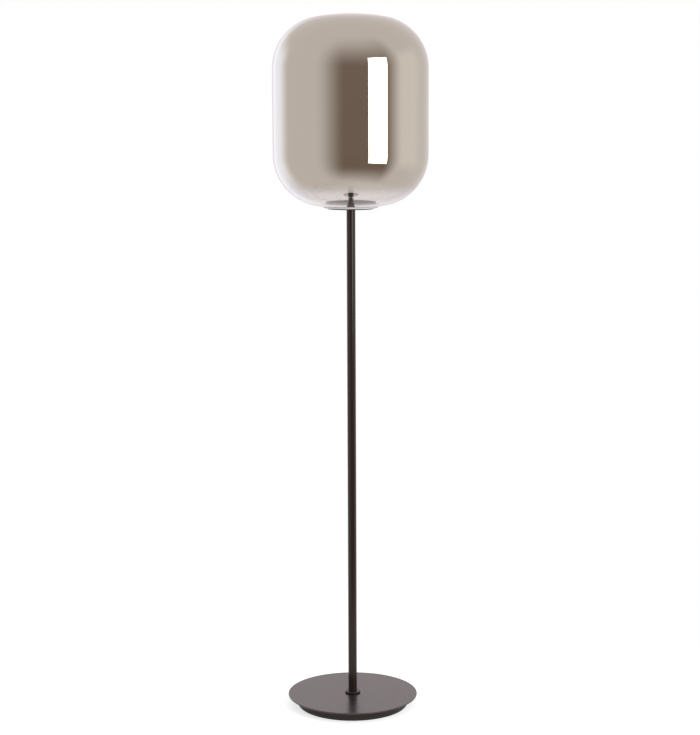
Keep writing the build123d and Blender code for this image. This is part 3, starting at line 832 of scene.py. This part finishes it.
# The outer face takes the first material, the inner one the second, the ground mouth the third.
globe_middle = Vector((0, 0, (upper_corner + lower_corner) / 2))
face_slack = 0.01 * mm
for face in globe_form.faces:
    centre = face.calc_center_median()
    at_mouth = centre.z < lip_top and math.hypot(centre.x, centre.y) < mouth_radius + face_slack
    ground = at_mouth or centre.z < globe_low.z + face_slack
    outward = face.normal.dot(centre - globe_middle) > 0
    face.material_index = 2 if ground else 0 if outward else 1

# Vapour-deposited smoky mirror on glass: warm grey metal, thinning to nothing over the foot.
smoky_metal = 0xBCB4A7
bare_glass = 0xF6EFEE
clear_below = crown_base + 17 * mm
mirror_above = crown_base + 66 * mm
mirror_glass, mirror_tree, mirror_shader = new_finish(
    "vapour_coated_smoky_glass", smoky_metal, transmission_weight=1.0, roughness=0.03, ior=1.5
)
blown_waves(mirror_tree, mirror_shader, length=70 * mm, height=0.05 * mm)
mirror_place = add_node(mirror_tree, "TexCoord").outputs["Object"]
mirror_height = add_node(mirror_tree, "SeparateXYZ", links={"Vector": mirror_place}).outputs["Z"]
coating = add_node(
    mirror_tree,
    "MapRange",
    {"interpolation_type": "SMOOTHSTEP", "From Min": clear_below, "From Max": mirror_above},
    {"Value": mirror_height},
).outputs["Result"]
mirror_tint = add_node(
    mirror_tree,
    "Mix",
    {"data_type": "RGBA", mix_first: linear(bare_glass), mix_second: linear(smoky_metal)},
    {0: coating},
)
mirror_tree.links.new(coating, mirror_shader.inputs["Metallic"])
mirror_tree.links.new(mirror_tint.outputs[mix_result], mirror_shader.inputs["Base Color"])

# The inner face and the lip: fire-polished clear soda glass.
inner_glass, inner_tree, inner_shader = new_finish(
    "fire_polished_soda_glass", 0xF6F3F1, transmission_weight=1.0, roughness=0.0, ior=1.5
)
blown_waves(inner_tree, inner_shader, length=50 * mm, height=0.05 * mm)

# The mouth is cut and ground flat, so its edge is frosted and gathers light like a pale ring.
# The grit's marks are finer than the 0.4 mm at which they are drawn.
ground_glass, ground_tree, ground_shader = new_finish(
    "ground_glass_edge", 0xF2E6E6, transmission_weight=0.4, ior=1.5
)
surface_grain(
    ground_tree,
    ground_shader,
    grain=0.4 * mm,
    height=0.01 * mm,
    shade=0.02,
    spread=12 * mm,
    roughness=(0.55, 0.65),
)

mirror_globe = made("mirror_glass_globe", globe_form, mirror_glass, inner_glass, ground_glass, sharp=50)
# Scattered light rays skip the globe, because real glass lets the room's soft light through
# to the saucer and the cap. Rays from the camera and from mirrors still meet it.
mirror_globe.visible_diffuse = False
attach(mirror_globe, "globe")
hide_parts("globe_glass")

# ---------------------------------------------------------------- floor
# A plain pale floor round the lamp. It is lit like anything else, so it keeps the lamp's
# shadow; a little of its own light lifts it to white, and it fades into the white room.
floor_radius = 1.2
fade_start, fade_end = 0.6, 1.1
lift_seen = 0.65
lift_mirrored = 0.33
floor_mesh = bpy.data.meshes.new("floor")
floor_form = bmesh.new()
bmesh.ops.create_circle(floor_form, cap_ends=True, segments=64, radius=floor_radius)
floor_form.to_mesh(floor_mesh)
floor_form.free()
floor = bpy.data.objects.new("floor", floor_mesh)
bpy.context.scene.collection.objects.link(floor)

floor_paint, floor_tree, floor_shader = new_finish(
    "pale_studio_floor", 0xE6E4E4, roughness=0.9, specular_ior_level=0.0, emission_color=(1, 1, 1, 1)
)
floor_path = add_node(floor_tree, "LightPath")
floor_mirrored = add_node(
    floor_tree,
    "Math",
    {"operation": "MAXIMUM"},
    {0: floor_path.outputs["Is Glossy Ray"], 1: floor_path.outputs["Is Transmission Ray"]},
)
floor_seen = add_node(
    floor_tree, "Math", {"operation": "MULTIPLY", 1: lift_seen}, {0: floor_path.outputs["Is Camera Ray"]}
)
floor_lift = add_node(
    floor_tree,
    "Math",
    {"operation": "MULTIPLY_ADD", 1: lift_mirrored},
    {0: floor_mirrored.outputs[0], 2: floor_seen.outputs[0]},
)
floor_tree.links.new(floor_lift.outputs[0], floor_shader.inputs["Emission Strength"])
floor_place = add_node(floor_tree, "TexCoord").outputs["Object"]
floor_reach = add_node(floor_tree, "VectorMath", {"operation": "LENGTH"}, {0: floor_place})
floor_fade = add_node(
    floor_tree,
    "MapRange",
    {
        "interpolation_type": "SMOOTHSTEP",
        "From Min": fade_start,
        "From Max": fade_end,
        "To Min": 1.0,
        "To Max": 0.0,
    },
    {"Value": floor_reach.outputs["Value"]},
)
floor_tree.links.new(floor_fade.outputs["Result"], floor_shader.inputs["Alpha"])
floor_mesh.materials.append(floor_paint)

# ---------------------------------------------------------------- light
# Even light from a white room, and one tall softbox to the right of the camera. The room's
# front side is dim, which is what a mirror globe shows of the place the camera stands in.
softbox_turn = math.radians(41)
softbox_distance = 2.0
softbox_low, softbox_high = 0.687, 2.14
softbox_left, softbox_right = -0.583, 0.416
softbox_level = 4.0
softbox_out = Vector((math.sin(softbox_turn), -math.cos(softbox_turn), 0))
softbox_along = Vector((math.cos(softbox_turn), math.sin(softbox_turn), 0))
softbox_data = bpy.data.lights.new("softbox", "AREA")
softbox_data.shape = "RECTANGLE"
softbox_data.size = softbox_right - softbox_left
softbox_data.size_y = softbox_high - softbox_low
softbox_data.energy = math.pi * softbox_level * softbox_data.size * softbox_data.size_y
softbox = bpy.data.objects.new("softbox", softbox_data)
softbox.location = (
    softbox_out * softbox_distance
    + softbox_along * (softbox_left + softbox_right) / 2
    + Vector((0, 0, (softbox_low + softbox_high) / 2))
)
softbox.rotation_euler = (-softbox_out).to_track_quat("-Z", "Y").to_euler()
bpy.context.scene.collection.objects.link(softbox)

world = bpy.data.worlds.new("white_room")
bpy.context.scene.world = world
world.use_nodes = True
room = world.node_tree
room.nodes.clear()
room_place = add_node(room, "TexCoord").outputs["Generated"]
direction = add_node(room, "SeparateXYZ", links={"Vector": room_place})
towards_camera = add_node(room, "Math", {"operation": "MULTIPLY", 1: -1.0}, {0: direction.outputs["Y"]})
azimuth = add_node(
    room, "Math", {"operation": "ARCTAN2"}, {0: direction.outputs["X"], 1: towards_camera.outputs[0]}
)
elevation = add_node(room, "Math", {"operation": "ARCSINE"}, {0: direction.outputs["Z"]})


def between(angle, ends, softness):
    """One between two ends of an angle in degrees, nought outside, each end as soft as its own value."""
    (low, high), (low_soft, high_soft) = ends, softness
    rises = add_node(
        room,
        "MapRange",
        {
            "interpolation_type": "SMOOTHSTEP",
            "From Min": math.radians(low - low_soft),
            "From Max": math.radians(low + low_soft),
        },
        {"Value": angle},
    )
    falls = add_node(
        room,
        "MapRange",
        {
            "interpolation_type": "SMOOTHSTEP",
            "From Min": math.radians(high - high_soft),
            "From Max": math.radians(high + high_soft),
            "To Min": 1.0,
            "To Max": 0.0,
        },
        {"Value": angle},
    )
    both = {0: rises.outputs["Result"], 1: falls.outputs["Result"]}
    return add_node(room, "Math", {"operation": "MULTIPLY"}, both).outputs[0]


def area(sides, sides_soft, heights, heights_soft):
    """One inside an area of the room, given by its azimuths and its elevations, nought outside."""
    across = between(azimuth.outputs[0], sides, sides_soft)
    upward = between(elevation.outputs[0], heights, heights_soft)
    return add_node(room, "Math", {"operation": "MULTIPLY"}, {0: across, 1: upward}).outputs[0]


# The right wall is a little brighter than the left, a cool window lights the rear left, and
# the wall behind the lamp is plainer and faintly warm. The dim side is darkest level with
# the camera and brightens towards the ceiling and the floor.
right_wall = area(sides=(76, 118), sides_soft=(8, 16), heights=(-19, 24), heights_soft=(12, 10))
cool_window = area(sides=(-172, -115), sides_soft=(8, 13), heights=(-32, 21), heights_soft=(20, 11))
dim_side = area(sides=(-31, 64), sides_soft=(24, 14), heights=(-45, 35), heights_soft=(23, 40))
behind_edge, behind_middle = 0.86, 0.99
behind_lamp = add_node(
    room,
    "MapRange",
    {"interpolation_type": "SMOOTHSTEP", "From Min": behind_edge, "From Max": behind_middle},
    {"Value": direction.outputs["Y"]},
).outputs["Result"]
plain_wall_light = (0.94, 0.91, 0.93, 1)
right_wall_light = (1.12, 1.10, 1.12, 1)
cool_window_light = (1.48, 1.56, 1.80, 1)
behind_lamp_light = (0.95, 0.85, 0.89, 1)
dim_side_light = (0.28, 0.215, 0.185, 1)
mirrored_room = add_node(
    room,
    "Mix",
    {"data_type": "RGBA", mix_first: plain_wall_light, mix_second: right_wall_light},
    {0: right_wall},
)
for share, light in (
    (cool_window, cool_window_light),
    (behind_lamp, behind_lamp_light),
    (dim_side, dim_side_light),
):
    mirrored_room = add_node(
        room,
        "Mix",
        {"data_type": "RGBA", mix_second: light},
        {0: share, mix_first: mirrored_room.outputs[mix_result]},
    )

# Surfaces are lit by plain white, mirrors show the room, and the camera sees white behind all.
room_level = 0.6
room_path = add_node(room, "LightPath")
room_light = add_node(room, "Background", {"Color": (1, 1, 1, 1), "Strength": room_level})
room_seen = add_node(room, "Background", {"Color": (1, 1, 1, 1), "Strength": 1.0})
room_mirrored = add_node(
    room, "Background", {"Strength": 1.0}, {"Color": mirrored_room.outputs[mix_result]}
)
lit_or_mirrored = add_node(
    room,
    "MixShader",
    links={0: room_path.outputs["Is Glossy Ray"], 1: room_light.outputs[0], 2: room_mirrored.outputs[0]},
)
seen_or_through = add_node(
    room,
    "Math",
    {"operation": "MAXIMUM"},
    {0: room_path.outputs["Is Camera Ray"], 1: room_path.outputs["Is Transmission Ray"]},
)
room_out = add_node(
    room,
    "MixShader",
    links={0: seen_or_through.outputs[0], 1: lit_or_mirrored.outputs[0], 2: room_seen.outputs[0]},
)
add_node(room, "OutputWorld", links={"Surface": room_out.outputs[0]})

# ---------------------------------------------------------------- camera
# It stands almost 4 m in front of the lamp, a little below the globe's middle, and looks
# slightly down, so that the base shows as a flat ellipse.
camera_place = (-0.0034, -3.955, 1.346)
camera_pitch = math.radians(7.951)
camera_roll = math.radians(-0.223)
focal_pixels = 1750
picture_height = 735
camera_data = bpy.data.cameras.new("camera")
camera_data.sensor_width = 36
camera_data.lens = focal_pixels / picture_height * camera_data.sensor_width
camera = bpy.data.objects.new("camera", camera_data)
camera.matrix_world = (
    Matrix.Translation(camera_place)
    @ Matrix.Rotation(math.pi / 2 - camera_pitch, 4, "X")
    @ Matrix.Rotation(camera_roll, 4, "Z")
)
bpy.context.scene.collection.objects.link(camera)
bpy.context.scene.camera = camera
bpy.context.scene.view_settings.view_transform = "Standard"
